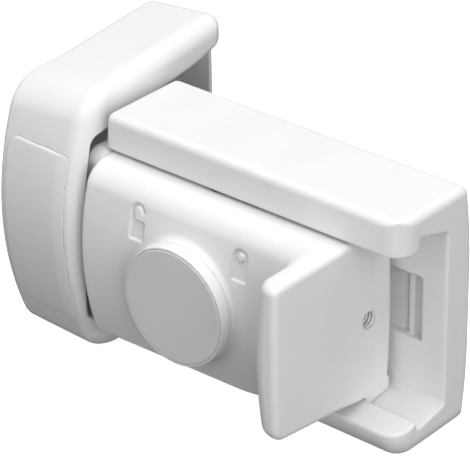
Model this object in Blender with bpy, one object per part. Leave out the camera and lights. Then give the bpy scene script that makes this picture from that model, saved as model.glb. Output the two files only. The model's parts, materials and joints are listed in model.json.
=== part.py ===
"""Stair gate latch: wall catch, gate rail, sliding bolt with finger wing, and a round lock knob.

Drawing coordinates are millimetres: X along the latch towards the gate, Y from the front to the
back, Z up, measured from the rail's front left bottom corner. ORIGIN, the middle of the wall
plate's back face, becomes the world origin.
"""
import bpy
import bmesh
import math
from mathutils import Vector

MM = 0.001
ORIGIN = Vector((-16.95, 50.3, 36.0))
GAP = 0.3                       # clearance between neighbouring pieces

# wall catch
CATCH_LEFT, CATCH_RIM = -29.6, -1.9
CATCH_FRONT, CATCH_BACK = -11.6, 50.3
CATCH_MID_Z, CATCH_BOW, CATCH_LEAN = 34.0, 78.0, 0.4
PANEL_RISE = 0.4
PLATE_FRONT = 49.1
PLATE_LEFT, PLATE_RIGHT = -26.3, -7.6
PLATE_LOW, PLATE_HIGH = 1.0, 71.0
WALL_HOLE_LOW, WALL_HOLE_HIGH, WALL_HOLE_R = 13.4, 47.4, 2.6
KEEPER_LOW, KEEPER_HIGH = 20.0, 43.0

# gate rail
RAIL_LEFT, RAIL_RIGHT, RAIL_LEFT_BOW, RAIL_RIGHT_BOW = 0.4, 94.7, 1.7, 2.0
RAIL_HEIGHT, WALL = 67.8, 10.0
LIP_DEPTH, RAIL_INNER, RAIL_BACK = 7.6, 18.5, 29.0
GROOVE_LOW = 7.5                # floor of the lower runner groove, at the lip
GATE_HOLES_X, GATE_HOLE_R = (12.0, 42.0), 2.2

# slider
SLIDER_LEFT, SLIDER_RIGHT = 0.8, 79.0
NOSE_LEFT, NOSE_LOW, NOSE_HIGH = -5.0, 12.37, 56.9
SLIDER_FRONT, SLIDER_BACK = -11.4, 17.0
SLIDER_LOW, SLIDER_HIGH = 10.4, 57.0
SLIDER_MID_Z, SLIDER_BOW = 32.0, 80.0
TRAVEL = 12.0

# lock knob
KNOB_X, KNOB_Z = 35.9, 31.2
KNOB_FRONT, KNOB_REAR, KNOB_R, KNOB_NECK_R = -15.7, -9.3, 16.2, 15.6
DISC_R = 15.5
PIN_Y, PIN_LIFT = 3.5, 4.0

# spring line, shared with the threaded end hole
SPRING_Y, SPRING_Z = 8.1, 32.9


def place(x, y, z):
    return Vector(((x - ORIGIN.x) * MM, (y - ORIGIN.y) * MM, (z - ORIGIN.z) * MM))


def clear_scene():
    for item in list(bpy.data.objects):
        bpy.data.objects.remove(item, do_unlink=True)


def new_collection(name, hidden=False):
    group = bpy.data.collections.new(name)
    bpy.context.scene.collection.children.link(group)
    group.hide_render = hidden
    return group


clear_scene()
PARTS = new_collection("stair_gate_latch")
CUTTERS = new_collection("latch_cutters", hidden=True)


def material(name, colour, roughness=0.5, metallic=0.0):
    made = bpy.data.materials.new(name)
    made.use_nodes = True
    shader = made.node_tree.nodes["Principled BSDF"]
    shader.inputs["Base Color"].default_value = (*colour, 1.0)
    shader.inputs["Roughness"].default_value = roughness
    shader.inputs["Metallic"].default_value = metallic
    return made


def solid(name, points, faces, keep=True):
    """A closed mesh object from points in drawing millimetres."""
    mesh = bpy.data.meshes.new(name)
    mesh.from_pydata([place(*p) for p in points], [], faces)
    work = bmesh.new()
    work.from_mesh(mesh)
    bmesh.ops.remove_doubles(work, verts=work.verts, dist=0.000002)
    bmesh.ops.recalc_face_normals(work, faces=work.faces)
    work.to_mesh(mesh)
    work.free()
    made = bpy.data.objects.new(name, mesh)
    (PARTS if keep else CUTTERS).objects.link(made)
    if not keep:
        made.hide_render = True
        made.display_type = "WIRE"
    return made


def loft(name, rings, keep=True):
    """Skin a stack of closed rings with equal point counts and cap both ends."""
    count = len(rings[0])
    points = [p for ring in rings for p in ring]
    faces = []
    for level in range(len(rings) - 1):
        low, high = level * count, (level + 1) * count
        for i in range(count):
            j = (i + 1) % count
            faces.append((low + i, low + j, high + j, high + i))
    faces.append(tuple(range(count))[::-1])
    faces.append(tuple(range(len(points) - count, len(points))))
    return solid(name, points, faces, keep)


def split_caps(target):
    """Split a loft's end caps into triangles, as a bowed cap isn't flat."""
    work = bmesh.new()
    work.from_mesh(target.data)
    caps = [face for face in work.faces if len(face.verts) > 4]
    bmesh.ops.triangulate(work, faces=caps, ngon_method="EAR_CLIP")
    work.to_mesh(target.data)
    work.free()


def combine(target, other, operation):
    step = target.modifiers.new("step", "BOOLEAN")
    step.operation = operation
    step.solver = "EXACT"
    step.object = other
    bpy.context.view_layer.update()
    graph = bpy.context.evaluated_depsgraph_get()
    mesh = bpy.data.meshes.new_from_object(target.evaluated_get(graph))
    target.modifiers.clear()
    old = target.data
    target.data = mesh
    bpy.data.meshes.remove(old)
    work = bmesh.new()
    work.from_mesh(mesh)
    bmesh.ops.remove_doubles(work, verts=work.verts, dist=0.000001)
    bmesh.ops.dissolve_degenerate(work, edges=work.edges, dist=0.000001)
    work.to_mesh(mesh)
    work.free()


def cut(target, *tools):
    for tool in tools:
        combine(target, tool, "DIFFERENCE")


def join(target, *tools):
    for tool in tools:
        combine(target, tool, "UNION")


def common(target, tool):
    combine(target, tool, "INTERSECT")


def box(name, x0, x1, y0, y1, z0, z1, round_by=0.0, segments=2, keep=True):
    made = solid(name, [(x, y, z) for x in (x0, x1) for y in (y0, y1) for z in (z0, z1)],
                 [(0, 1, 3, 2), (4, 6, 7, 5), (0, 4, 5, 1), (2, 3, 7, 6), (0, 2, 6, 4), (1, 5, 7, 3)], keep)
    if round_by:
        work = bmesh.new()
        work.from_mesh(made.data)
        bmesh.ops.bevel(work, geom=list(work.edges), offset=round_by * MM, segments=segments,
                        profile=0.5, affect="EDGES", clamp_overlap=True)
        work.to_mesh(made.data)
        work.free()
    return made


def turned(name, axis, centre, profile, sides=24, keep=True, phase=0.0):
    """Rings of (distance along the axis, radius) about an axis through centre."""
    rings = []
    for distance, radius in profile:
        ring = []
        for i in range(sides):
            angle = 2 * math.pi * i / sides + phase
            a, b = radius * math.cos(angle), radius * math.sin(angle)
            if axis == "X":
                ring.append((distance, centre[0] + a, centre[1] + b))
            elif axis == "Y":
                ring.append((centre[0] + a, distance, centre[1] + b))
            else:
                ring.append((centre[0] + a, centre[1] + b, distance))
        rings.append(ring)
    return loft(name, rings, keep)


def rod(name, axis, centre, start, end, radius, sides=16, keep=False):
    return turned(name, axis, centre, [(start, radius), (end, radius)], sides, keep)


def rounded(corners, segments=4):
    """Closed outline of (u, v) points with each (u, v, radius) corner rounded."""
    outline = []
    count = len(corners)
    for i, (u, v, radius) in enumerate(corners):
        here = Vector((u, v))
        if radius <= 0:
            outline.append((u, v))
            continue
        back = (Vector(corners[i - 1][:2]) - here).normalized()
        ahead = (Vector(corners[(i + 1) % count][:2]) - here).normalized()
        half = math.acos(max(-1.0, min(1.0, back.dot(ahead)))) / 2
        reach = radius / math.tan(half)
        centre = here + (back + ahead).normalized() * (radius / math.sin(half))
        first = here + back * reach - centre
        last = here + ahead * reach - centre
        sweep = math.atan2(first.x * last.y - first.y * last.x, first.dot(last))
        for k in range(segments + 1):
            turn = sweep * k / segments
            outline.append((centre.x + first.x * math.cos(turn) - first.y * math.sin(turn),
                            centre.y + first.x * math.sin(turn) + first.y * math.cos(turn)))
    return outline


def grow(outline, amount):
    """Move each point of a closed outline outwards, with one amount or one per point."""
    count = len(outline)
    area = sum(outline[i - 1][0] * outline[i][1] - outline[i][0] * outline[i - 1][1] for i in range(count))
    side = 1.0 if area > 0 else -1.0
    moved = []
    for i, (u, v) in enumerate(outline):
        before = Vector((u, v)) - Vector(outline[i - 1])
        after = Vector(outline[(i + 1) % count]) - Vector((u, v))
        n1 = Vector((before.y, -before.x)).normalized() * side
        n2 = Vector((after.y, -after.x)).normalized() * side
        normal = n1 + n2
        normal = normal / max(0.35, normal.length_squared / 2)
        step = amount[i] if isinstance(amount, (list, tuple)) else amount
        moved.append((u + normal.x * step, v + normal.y * step))
    return moved


def round_over(radius, depth):
    """How far a rounded edge of this radius pulls in, this deep below the end face."""
    if depth >= radius:
        return 0.0
    return radius - math.sqrt(max(0.0, radius ** 2 - (radius - depth) ** 2))


def screw(name, axis, centre, head, tip, head_r=3.0, shank_r=1.5, head_depth=1.6, slot=True):
    """Countersunk cross-head screw from head face to tip."""
    way = 1.0 if tip > head else -1.0
    made = turned(name, axis, centre, [
        (head, head_r - 0.15), (head + 0.25 * way, head_r), (head + head_depth * way, shank_r),
        (tip - 0.8 * way, shank_r), (tip, shank_r * 0.55)], 16)
    if slot:
        deep = head + 0.95 * way
        out = head - 0.5 * way
        low, high = min(deep, out), max(deep, out)
        a, b = centre
        long, thin = head_r * 0.55, 0.35
        spans = ((long, thin), (thin, long))
        for p, q in spans:
            if axis == "X":
                tool = box("slot", low, high, a - p, a + p, b - q, b + q, keep=False)
            elif axis == "Y":
                tool = box("slot", a - p, a + p, low, high, b - q, b + q, keep=False)
            else:
                tool = box("slot", a - p, a + p, b - q, b + q, low, high, keep=False)
            cut(made, tool)
    return made


def sink(axis, centre, head, tip, head_r=3.0, shank_r=1.5, head_depth=1.6):
    """Clearance hole for the screw above."""
    way = 1.0 if tip > head else -1.0
    return turned("sink", axis, centre, [
        (head - 3.0 * way, head_r + GAP), (head + 0.25 * way, head_r + GAP),
        (head + (head_depth + 0.25) * way, shank_r + GAP), (tip + 0.35 * way, shank_r + GAP)], 16, keep=False)


def coil(name, axis, centre, start, end, mean_r, wire_r, turns, steps=12, sides=6):
    """Compression spring as one swept wire."""
    rings = []
    total = int(turns * steps)
    for i in range(total + 1):
        angle = 2 * math.pi * i / steps
        along = start + (end - start) * i / total
        out = Vector((math.cos(angle), math.sin(angle)))
        ring = []
        for k in range(sides):
            turn = 2 * math.pi * k / sides
            radial = mean_r + wire_r * math.cos(turn)
            shift = wire_r * math.sin(turn)
            a, b = out.x * radial, out.y * radial
            if axis == "X":
                ring.append((along + shift, centre[0] + a, centre[1] + b))
            else:
                ring.append((centre[0] + a, centre[1] + b, along + shift))
        rings.append(ring)
    return loft(name, rings)


# ---------------------------------------------------------------- wall catch
def catch_outline(x, inset=0.0):
    """Side view (y, z) of the housing's outside at this x."""
    t = (x - CATCH_LEFT) / (CATCH_RIM - CATCH_LEFT)
    front = CATCH_FRONT + 1.1 * (1 - t)
    top_front = 68.6 + 2.8 * t
    top_back = 75.0 + 2.6 * t
    low_front, low_back = -3.6 - 0.4 * t, -4.0 - 0.4 * t
    face = []
    for k in range(9):
        z = 6.5 + (61.0 - 6.5) * k / 8
        face.append((front + (z - CATCH_MID_Z) ** 2 / (2 * CATCH_BOW), z, 0))
    foot_y = front + (low_front - CATCH_MID_Z) ** 2 / (2 * CATCH_BOW)
    head_y = front + (top_front - CATCH_MID_Z) ** 2 / (2 * CATCH_BOW)
    corners = [(foot_y, low_front, 6.0)] + face + [
        (head_y, top_front, 6.0), (CATCH_BACK, top_back, 4.2), (CATCH_BACK, low_back, 4.2)]
    outline = rounded(corners, 5)
    return grow(outline, -inset) if inset else outline


def catch_solid(name, inset=0.0, keep=True):
    """The housing's outside, flared towards the rim, with rounded ends."""
    left_r, rim_r = 2.2, 4.6
    stations = []
    for depth in (0.0, 0.2, 0.65, 1.3, 2.2):
        stations.append((CATCH_LEFT + depth, round_over(left_r, depth)))
    stations += [(-20.0, 0.0), (-12.0, 0.0)]
    for depth in (4.6, 3.0, 1.6, 0.6, 0.0):
        stations.append((CATCH_RIM - depth, round_over(rim_r, depth)))
    rings = []
    for x, pull in stations:
        ring = []
        for y, z in catch_outline(x, pull * 0.86 + inset):
            lean = CATCH_LEAN * (max(y, 0.0) / CATCH_BACK) * (x - CATCH_LEFT) / (CATCH_RIM - CATCH_LEFT)
            ring.append((x - lean, min(y, CATCH_BACK + 0.02), z))
        rings.append(ring)
    if inset:
        rings = rings[4:8]
        rings[0] = [(CATCH_LEFT - 1, y, z) for _, y, z in rings[0]]
        rings[-1] = [(CATCH_RIM + 1, y, z) for _, y, z in rings[-1]]
    return loft(name, rings, keep)


def panel_prism(name, outset, y0, y1):
    corners = [(-26.6, 8.6, 3.0)]
    for k in range(7):
        z = 8.8 + (56.4 - 8.8) * k / 6
        corners.append((-5.2 - 0.3 * (1 - ((z - 32.6) / 23.8) ** 2), z, 0))
    corners += [(-26.4, 56.6, 4.0)]
    for k in range(5):
        z = 48.0 - 31.0 * k / 4
        corners.append((-26.9, z, 0))
    corners[-5:] = [(-26.9, 48.0, 0), (-27.0, 32.0, 0), (-26.9, 17.0, 0)]
    outline = grow(rounded(corners, 5), outset)
    return loft(name, [[(u, y0, v) for u, v in outline], [(u, y1, v) for u, v in outline]], keep=False)


def catch_cavity(name):
    """Space inside the housing, open to the gate and at the back, flared a little at the wall."""
    def ring(x, outset):
        drop = 0.8 * (1 - (x + 27.0) / 25.0)
        corners = [(mouth_front(8.0), 8.0, 2.5)]
        for k in range(7):
            z = 12.5 + (56.5 - 12.5) * k / 6
            corners.append((mouth_front(z), z, 0))
        corners += [(mouth_front(60.4), 60.4 - drop, 1.5), (47.6, 67.8 - drop, 2.0), (52.6, 71.2, 0),
                    (56.0, 71.2, 0), (56.0, 7.0, 0)]
        return [(x, y, z) for y, z in grow(rounded(corners, 4), outset)]
    return loft(name, [ring(-26.8, -0.2), ring(-26.4, 0.0), ring(-3.2, 0.0), ring(-2.4, 0.1),
                       ring(-2.0, 0.35), ring(2.5, 0.35)], keep=False)


def mouth_front(z):
    """Inner face of the housing's front wall, which bows like the outside."""
    return -6.9 + (z - 28.0) ** 2 / 240.0


def build_wall_catch():
    middle_x = (PLATE_LEFT + PLATE_RIGHT) / 2
    screw_spots = (("shell_screw_lower", 4.2), ("shell_screw_upper", 65.2))
    shell = catch_solid("catch_shell")
    cavity = catch_cavity("catch_cavity")
    cut(cavity, box("upper_screw_post", -30.0, -11.6, 38.0, 60.0, 60.6, 75.0, keep=False))
    cut(shell, cavity)
    cut(shell, box("plate_seat", PLATE_LEFT - GAP, PLATE_RIGHT + GAP, PLATE_FRONT - GAP, 56.0,
                   PLATE_LOW - GAP, PLATE_HIGH + GAP, keep=False))
    recess = panel_prism("panel_recess", GAP, -20.0, 12.0)
    cut(recess, catch_solid("recess_floor", 1.5, keep=False))
    cut(shell, recess)

    panel = panel_prism("panel_blank", 0.0, -20.0, 12.0)
    panel_skin = catch_solid("panel_skin", -PANEL_RISE, keep=False)
    common(panel, panel_skin)
    cut(panel, catch_solid("panel_floor", 1.2, keep=False))
    panel.name = "catch_panel"
    CUTTERS.objects.unlink(panel)
    PARTS.objects.link(panel)
    panel.hide_render = False
    panel.display_type = "TEXTURED"

    plate = box("wall_plate", PLATE_LEFT, PLATE_RIGHT, PLATE_FRONT, CATCH_BACK, PLATE_LOW, PLATE_HIGH,
                round_by=0.25, segments=1)
    for z in (WALL_HOLE_LOW, WALL_HOLE_HIGH):
        cut(plate, turned("wall_hole", "Y", (middle_x, z), [
            (48.5, 3.5), (49.3, 3.5), (50.2, WALL_HOLE_R), (51.5, WALL_HOLE_R)], 24, keep=False))

    for name, z in screw_spots:
        cut(plate, sink("Y", (middle_x, z), 50.15, 38.8, head_r=2.5, head_depth=0.95))
        cut(shell, rod("screw_bore", "Y", (middle_x, z), 52.0, 38.4, 1.8))
        screw(name, "Y", (middle_x, z), 50.15, 38.8, head_r=2.5, head_depth=0.95)

    block = box("keeper_block", -25.2, -8.5, 17.9, 48.8, KEEPER_LOW, KEEPER_HIGH, round_by=0.8)
    strap_outline = [(-8.0, 16.0), (-8.0, 17.5), (-25.4, 17.5), (-25.4, -2.2), (-8.0, -2.2),
                     (-8.0, -0.7), (-23.9, -0.7), (-23.9, 16.0)]
    strap = loft("keeper_strap", [[(x, y, z) for x, y in strap_outline]
                                 for z in (KEEPER_LOW + 2.0, KEEPER_HIGH - 1.5)])
    for name, x, z in (("keeper_screw_lower", -20.6, 26.0), ("keeper_screw_upper", -12.6, 37.4)):
        for piece in (strap, block, plate):
            cut(piece, sink("Y", (x, z), 16.05, 50.1, head_r=2.9))
        screw(name, "Y", (x, z), 16.05, 50.1, head_r=2.9)
    pad = box("catch_buffer", -23.55, -21.6, 1.0, 14.5, KEEPER_LOW + 4.0, KEEPER_HIGH - 3.5, round_by=0.5)
    return [shell, panel, plate, block, strap, pad]


# ---------------------------------------------------------------- gate rail
def rail_outline():
    corners = [(0.0, 0.0, 7.3), (0.0, WALL - 1.8, 0.8), (LIP_DEPTH, WALL, 0.5), (LIP_DEPTH, GROOVE_LOW, 0.4),
               (RAIL_INNER, 9.6, 1.0), (RAIL_INNER, 58.2, 1.0), (LIP_DEPTH, 61.5, 0.4),
               (LIP_DEPTH, RAIL_HEIGHT - WALL, 1.8), (0.0, RAIL_HEIGHT - WALL, 0.9),
               (0.0, RAIL_HEIGHT, 2.4), (RAIL_BACK - 2.2, RAIL_HEIGHT, 2.0)]
    for z in (58.0, 52.0, 45.0):
        corners.append((RAIL_BACK - (z - 44.0) ** 2 * 0.004, z, 0))
    for z in (22.8, 15.8, 9.8):
        corners.append((RAIL_BACK - (23.8 - z) ** 2 * 0.004, z, 0))
    corners.append((RAIL_BACK - 2.3, 0.0, 4.2))
    return rounded(corners, 4)


def rail_left(z):
    """The rail's left end bows towards the catch at mid height."""
    middle = RAIL_HEIGHT / 2
    return RAIL_LEFT - RAIL_LEFT_BOW * max(0.0, 1.0 - ((z - middle) / middle) ** 2)


def rail_right(y, z):
    """The rail's right end curves back towards its front and lower edges."""
    return RAIL_RIGHT - RAIL_RIGHT_BOW * max(0.0, 1.0 - y / 20.0) ** 2 - 1.2 * max(0.0, 1.0 - z / 8.0) ** 2


def build_gate_rail():
    outline = rail_outline()
    outer = [1.0 if (y < 0.5 or y > 19.5 or y + min(z, RAIL_HEIGHT - z) < 7.5) else 0.12 for y, z in outline]
    rings = []
    for depth in (0.0, 0.35, 1.2, 2.6):
        pulls = [-round_over(2.6 * k, depth) for k in outer]
        rings.append([(rail_left(z) + depth, y, z) for y, z in grow(outline, pulls)])
    for depth in (2.6, 1.2, 0.35, 0.0):
        pulls = [-round_over(2.6 * k, depth) for k in outer]
        rings.append([(rail_right(y, z) - depth, y, z) for y, z in grow(outline, pulls)])
    channel = loft("rail_channel", rings)
    split_caps(channel)
    for name, left, right, floor in (("pocket_left", 30.0, 81.7, 22.5), ("pocket_rib_top", 81.6, 83.7, 20.4),
                                     ("pocket_right", 83.6, 87.0, 22.5)):
        cut(channel, box(name, left, right, 17.5, floor, 25.0, 43.0, keep=False))
    for x in GATE_HOLES_X:
        start = 22.5 if x > 30 else RAIL_INNER
        cut(channel, turned("gate_hole", "Y", (x, 33.9), [
            (start - 1.0, 4.2), (start + 0.3, 4.2), (start + 2.2, GATE_HOLE_R), (31.0, GATE_HOLE_R)], 20, keep=False))
    cut(channel, box("pin_slot", KNOB_X - 3.2, KNOB_X + TRAVEL + 3.2, PIN_Y - 2.5, PIN_Y + 2.5, 57.0, 62.6,
                     keep=False))

    anchor = box("spring_anchor", 48.0, 72.0, 18.9, 22.2, 26.0, 42.0, round_by=0.6)
    join(anchor, box("anchor_finger", 58.0, 62.0, 3.2, 20.5, 27.0, 38.8, round_by=0.5, keep=False))
    cut(anchor, rod("rod_bore", "X", (SPRING_Y, SPRING_Z), 56.0, 64.0, 2.3))
    for name, x in (("anchor_screw_left", 52.5), ("anchor_screw_right", 67.5)):
        for piece in (anchor, channel):
            cut(piece, sink("Y", (x, 34.0), 19.0, 26.6, head_r=2.6, shank_r=1.3, head_depth=1.4))
        screw(name, "Y", (x, 34.0), 19.0, 26.6, head_r=2.6, shank_r=1.3, head_depth=1.4)
    turned("spring_rod", "X", (SPRING_Y, SPRING_Z), [
        (16.0, 1.2), (17.0, 2.0), (62.3, 2.0), (62.3, 3.3), (63.8, 3.3), (64.1, 3.0)], 16)
    return channel, anchor


# ---------------------------------------------------------------- slider
def slider_plan(z, inset_step, soft=1.0):
    """Plan outline (x, y) of the slider at height z, pulled in near its top and bottom."""
    bow = (z - SLIDER_MID_Z) ** 2 / (2 * SLIDER_BOW)
    front = SLIDER_FRONT + bow
    left = SLIDER_LEFT - 0.2 + (z - 33.0) ** 2 / 900.0
    swell = max(0.0, 1.0 - ((z - 35.0) / 21.5) ** 2)
    wing_left = 72.5 - 1.5 * swell
    tip = -27.2 - 0.5 * swell + round_over(4.0, max(0.0, z - SLIDER_LOW))
    sweep_r = 9.0 + 3.0 * swell
    centre_x, centre_y = wing_left - sweep_r, front - sweep_r
    points, radii = [], []

    def add(x, y, r):
        points.append((x, y))
        radii.append(r)

    for k in range(3):
        a = math.radians(90 + 45 * k)
        add(left + 1.0 + 1.0 * math.cos(a), SLIDER_BACK - 1.0 + 1.0 * math.sin(a), 0.5)
    for k in range(5):
        a = math.radians(180 + 22.5 * k)
        add(left + 1.5 + 1.5 * math.cos(a), front + 1.5 + 1.5 * math.sin(a), 1.3 + 0.9 * k)
    add(30.0, front, 5.5)
    for k in range(8):
        a = math.radians(90 - 82 * k / 7)
        add(centre_x + sweep_r * math.cos(a), centre_y + sweep_r * math.sin(a), 5.5 - 3.5 * k / 7)
    left_x = points[-1][0]
    round_r = min(4.6, (SLIDER_RIGHT - left_x) - 1.6)
    for k in range(1, 6):
        a = math.radians(188 + 82 * k / 5)
        add(left_x + round_r + round_r * math.cos(a), tip + round_r + round_r * math.sin(a), 2.0)
    for k in range(4):
        a = math.radians(270 + 30 * k)
        add(SLIDER_RIGHT - 1.4 + 1.4 * math.cos(a), tip + 1.4 + 1.4 * math.sin(a), 1.6)
    add(SLIDER_RIGHT, -10.0, 1.6)
    add(SLIDER_RIGHT, SLIDER_BACK - 0.8, 0.6)
    add(SLIDER_RIGHT - 0.8, SLIDER_BACK, 0.5)
    if inset_step is None:
        return points
    return grow(points, [-round_over(r * soft, inset_step) for r in radii])


def build_slider_blank():
    rings = []
    low_soft = 0.6
    steps = (0.0, 0.2, 0.65, 1.5, 3.0, 5.5)
    levels = [(SLIDER_LOW + s * low_soft, s * low_soft, low_soft) for s in steps]
    start, end = SLIDER_LOW + steps[-1] * low_soft, SLIDER_HIGH - steps[-1]
    levels += [(start + (end - start) * k / 9, None, 1.0) for k in range(1, 9)]
    levels += [(SLIDER_HIGH - s, s, 1.0) for s in reversed(steps)]
    for z, step, soft in levels:
        fade = max(0.0, 1.0 - (z - SLIDER_LOW) / 20.0)
        rings.append([(x, y, z + 0.113 * max(0.0, 7.0 - y) * fade) for x, y in slider_plan(z, step, soft)])
    body = loft("slider_body", rings)
    split_caps(body)
    return body


def slider_apron():
    """Lower edge of the slider's front, which hangs a little in front of the rail's lower lip."""
    rings = []
    for x, foot in ((2.4, 8.2), (50.0, 9.3), (72.0, 11.0)):
        rings.append([(x, -0.5, 13.6), (x, -0.5, foot), (x, -6.9, foot), (x, -7.9, foot + 0.4),
                      (x, -8.4, foot + 1.5), (x, -9.0, 13.6)])
    return loft("slider_apron", rings, keep=False)


def slider_nose():
    """Neck at the slider's left end, around the bolt, that reaches into the catch's mouth."""
    def front(z):
        return mouth_front(z) + 1.5 + 1.8 * max(0.0, 1.0 - ((z - 32.0) / 22.0) ** 2)

    corners = [(16.6, NOSE_LOW, 1.2), (front(NOSE_LOW), NOSE_LOW, 1.6)]
    for k in range(1, 6):
        z = NOSE_LOW + (NOSE_HIGH - NOSE_LOW) * k / 6
        corners.append((front(z), z, 0))
    corners += [(front(NOSE_HIGH) + 0.4, NOSE_HIGH, 3.6), (16.6, NOSE_HIGH, 1.2)]
    outline = rounded(corners, 3)
    return loft("slider_nose", [[(x, y, z) for y, z in grow(outline, -pull)] for x, pull in (
        (NOSE_LEFT, 1.2), (NOSE_LEFT + 0.35, 0.35), (NOSE_LEFT + 1.2, 0.0), (7.5, 0.0))], keep=False)


def runner_tongue(upper):
    """Dovetail tongue at the slider's right end that runs in the rail's groove."""
    section = [(7.95, 12.1), (7.95, GROOVE_LOW + 0.4), (15.7, 9.4), (15.7, 12.1)]
    if upper:
        section = [(7.95, 55.7), (7.95, 61.06), (15.7, 58.7), (15.7, 55.7)]
    return loft("runner_tongue", [[(x, y, z) for y, z in section] for x in (63.0, SLIDER_RIGHT - 0.35)], keep=False)


def knob_collar():
    """Low collar around the knob, faired into the bowed face."""
    sides, top_y, top_r = 64, -12.3, KNOB_R + 0.15
    fair = ((1.0, -0.35), (0.96, 0.06), (0.72, 0.2), (0.45, 0.38), (0.22, 0.6), (0.08, 0.82), (0.0, 1.0))
    rings = [[] for _ in range(len(fair) + 2)]
    for i in range(sides):
        a = 2 * math.pi * i / sides
        reach = 17.7
        spread = reach - top_r

        def face(radius):
            z = KNOB_Z + radius * math.sin(a)
            return SLIDER_FRONT + (z - SLIDER_MID_Z) ** 2 / (2 * SLIDER_BOW)
        lift = face(top_r) - top_y
        for k, (height, share) in enumerate(fair):
            radius = top_r + spread * share
            y = top_y if height == 1.0 else face(radius) - lift * height + (0.02 if height == 0 else 0.0)
            rings[k].append((KNOB_X + radius * math.cos(a), y, KNOB_Z + radius * math.sin(a)))
        rings[-2].append((KNOB_X + reach * math.cos(a), face(reach) + 0.9, KNOB_Z + reach * math.sin(a)))
        rings[-1].append((KNOB_X + top_r * math.cos(a), -7.4, KNOB_Z + top_r * math.sin(a)))
    return loft("knob_collar", rings, keep=False)


def padlock_sign(name, x, z, open_sign):
    """Cutter for a shallow padlock sign that follows the slope of the slider's face."""
    width, tall, arch = 4.6, 5.2, 2.3
    if open_sign:
        outline = [(-2.3, 0.0), (2.3, 0.0), (2.3, tall)]
        outline += [(-0.75, tall), (-1.15, 5.9), (-1.2, 6.6)]
        for k in range(7):
            a = math.radians(170 - 150 * k / 6)
            outline.append((0.0 + 1.25 * math.cos(a), 7.4 + 1.25 * math.sin(a)))
        outline.append((1.45, 7.2))
        outline.append((2.05, 7.0))
        for k in range(8):
            a = math.radians(15 + 165 * k / 7)
            outline.append((0.0 + 2.15 * math.cos(a), 7.4 + 2.15 * math.sin(a)))
        outline += [(-2.2, 6.2), (-2.3, tall)]
    else:
        outline = [(-2.3, 0.0), (2.3, 0.0), (2.3, 5.85)]
        for k in range(1, 9):
            a = math.radians(180 * k / 9)
            outline.append((2.3 * math.cos(a), 5.85 + 2.3 * math.sin(a)))
        outline.append((-2.3, 5.85))
    rings = []
    for depth in (-2.0, 0.6):
        ring = []
        for u, v in outline:
            height = z + v
            middle = z + 4.5
            slope = (middle - SLIDER_MID_Z) / SLIDER_BOW
            face = SLIDER_FRONT + (middle - SLIDER_MID_Z) ** 2 / (2 * SLIDER_BOW) + slope * (height - middle)
            ring.append((x + u, face + depth, height))
        rings.append(ring)
    made = loft(name, rings, keep=False)
    if not open_sign:
        eye = turned("sign_eye", "Y", (x, z + 6.1), [(-14.0, 1.1), (-4.0, 1.1)], 12, keep=False)
        cut(made, eye)
    return made


def thread_groove():
    """Helical groove that leaves visible thread turns in the end hole."""
    rings = []
    pitch, steps = 0.95, 14
    total = int(6.0 * steps)
    for i in range(total + 1):
        angle = 2 * math.pi * i / steps
        x = SLIDER_RIGHT + 0.2 - pitch * i / steps
        ring = []
        for along, radius in ((0.36, 1.9), (0.0, 2.62), (-0.36, 1.9)):
            ring.append((x + along, SPRING_Y + radius * math.cos(angle), SPRING_Z + radius * math.sin(angle)))
        rings.append(ring)
    return loft("thread_groove", rings, keep=False)


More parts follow.
